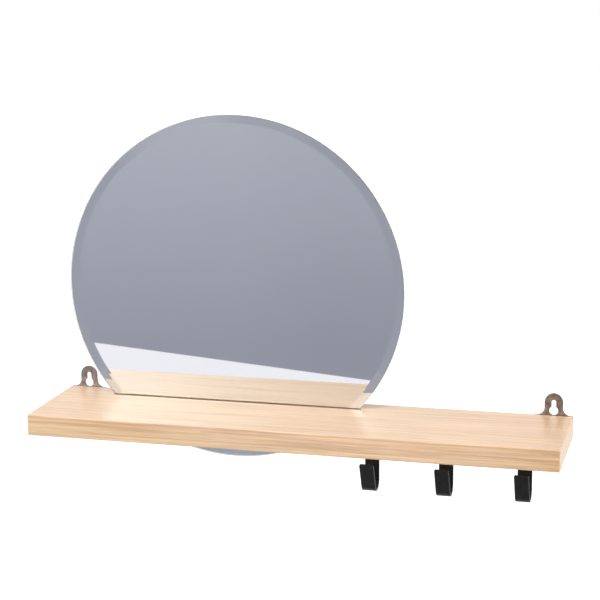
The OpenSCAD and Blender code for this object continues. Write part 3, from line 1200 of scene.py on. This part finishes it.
# The head's eased edge, the plain neck under it, and where the thread begins
HEAD_EDGE_IN = 0.12
HEAD_EDGE_DOWN = 0.06
NECK_LENGTH = 0.9
THREAD_START = 1.1


def thread_radius(screw, height, angle):
    """Radius of the thread and the tip at a height below the head, all round."""
    crest = screw["shank"] / 2
    root = crest * THREAD_ROOT
    turn = (height / screw["pitch"] + angle / tau) % 1.0
    ridge = max(0.0, 1 - abs(turn - 0.5) / THREAD_HALF)
    tip = min(1.0, (height + screw["length"]) / (screw["shank"] * TIP_LENGTH))
    return max(LEAST_R, (root + (crest - root) * ridge) * tip)


def circle(radius):
    return arc((0, 0), radius, 0, 360, THREAD_STEPS)[:-1]


def screw_body(screw):
    """A countersunk wood screw whose head is at the origin, with +Z out of it."""
    crest = screw["shank"] / 2
    head = screw["head"] / 2
    neck = -SCREW_RIM - (head - crest)
    rows = [
        (head - HEAD_EDGE_IN, 0.0),
        (head, -HEAD_EDGE_DOWN),
        (head, -SCREW_RIM),
        (crest, neck),
        (crest * NECK_SHARE, neck - NECK_LENGTH),
    ]
    bm = bmesh.new()
    rings = [ring_at(bm, circle(radius), height) for radius, height in rows]
    height = neck - THREAD_START
    while height > -screw["length"]:
        ring = []
        for i in range(THREAD_STEPS):
            angle = tau * i / THREAD_STEPS
            r = thread_radius(screw, height, angle)
            ring.append(bm.verts.new((r * cos(angle), r * sin(angle), height)))
        rings.append(ring)
        height -= screw["pitch"] / THREAD_ROWS
    rings.append(ring_at(bm, circle(TIP_R), -screw["length"]))
    skin(bm, rings)
    return object_from(bm, "screw_body")


def cross_cutter(screw):
    """Two crossing tapered blades, for the recess in the head."""
    depth = screw["head"] * CROSS_DEPTH
    top = screw["head"] * CROSS_SPAN / 2
    width = screw["head"] * CROSS_WIDTH / 2
    bm = bmesh.new()
    for turn in (0, 90):
        turned = Matrix.Rotation(radians(turn), 4, "Z")
        rings = []
        for along, across, up in CROSS_ROWS:
            reach, half, z = top * along, width * across, depth * up
            corners = ((-reach, -half, z), (reach, -half, z), (reach, half, z), (-reach, half, z))
            rings.append([bm.verts.new(turned @ Vector(corner)) for corner in corners])
        skin(bm, rings)
    return object_from(bm, "cross_cutter")


SCREW_SET_INPUTS = {
    "Places": "Geometry",
    "Screw": "Object",
    "Axis Turn": "Vector",
    "Turn Seed": "Int",
    "Finish": "Material",
}


def screw_set_tree():
    """Puts a screw at every point, turned to an axis and then by a random angle about it."""
    tree = bpy.data.node_groups.new("set_of_screws", "GeometryNodeTree")
    for label, kind in SCREW_SET_INPUTS.items():
        tree.interface.new_socket(label, in_out="INPUT", socket_type=f"NodeSocket{kind}")
    tree.interface.new_socket("Screws", in_out="OUTPUT", socket_type="NodeSocketGeometry")
    given = tree.nodes.new("NodeGroupInput").outputs
    shape = add(tree, "GeometryNodeObjectInfo", "screw", {"Object": given["Screw"]})
    axis = add(tree, "FunctionNodeEulerToRotation", "axis", {0: given["Axis Turn"]})
    seed = {"Seed": given["Turn Seed"]}
    chance = add(tree, "FunctionNodeRandomValue", "turn of the driver", seed, data_type="FLOAT")
    chance.inputs[3].default_value = tau
    about = add(tree, "CombineXYZ", "about the axis", {2: chance.outputs[1]})
    turn = add(tree, "FunctionNodeEulerToRotation", "turn", {0: about.outputs[0]})
    turns = {0: axis.outputs[0], 1: turn.outputs[0]}
    both = add(tree, "FunctionNodeRotateRotation", "axis and turn", turns)
    both.rotation_space = "LOCAL"
    placed = {"Points": given["Places"], "Instance": shape.outputs["Geometry"]}
    placed["Rotation"] = both.outputs[0]
    screws = add(tree, "GeometryNodeInstanceOnPoints", "screws", placed)
    real = add(tree, "GeometryNodeRealizeInstances", "real screws", {0: screws.outputs[0]})
    finish = {"Geometry": real.outputs[0], "Material": given["Finish"]}
    finished = add(tree, "GeometryNodeSetMaterial", "finish", finish)
    way_out = tree.nodes.new("NodeGroupOutput")
    feed(way_out.inputs["Screws"], finished.outputs[0])
    return tree


def make_screws(name, screw, finish, tree):
    """All the screws of a kind as one piece, on the places of their nodes."""
    body = cut(screw_body(screw), cross_cutter(screw), f"{name}_pattern", self_crossing=True)
    soften(body, SCREW_CREASE)
    body.data.materials.append(finish)
    nodes = screw_nodes(screw, screw["owners"])
    places = bpy.data.meshes.new(name)
    places.from_pydata([screw_place(node, screw) for node in nodes], [], [])
    holder = new_object(f"{name}_places", places)
    modifier = holder.modifiers.new("set of screws", "NODES")
    modifier.node_group = tree
    values = {"Screw": body, "Finish": finish}
    values |= {"Axis Turn": tuple(screw["turn"]), "Turn Seed": screw["turn_seed"]}
    for socket in tree.interface.items_tree:
        if socket.name in values:
            modifier[socket.identifier] = values[socket.name]
    screws = baked(holder, name)
    discard(body)
    hand_over(screws, "shelf", nodes)


def make_all_screws():
    tree = screw_set_tree()
    bronze = plated_steel("plated_screw", SCREW_TONES, roughness=0.28)
    black = black_coat("black_screw", roughness=0.30)
    make_screws("plate_screws", PLATE_SCREW, bronze, tree)
    make_screws("hook_screws", HOOK_SCREW, black, tree)


make_all_screws()


# ---- Hand over ----

bpy.context.scene.view_settings.view_transform = "Standard"
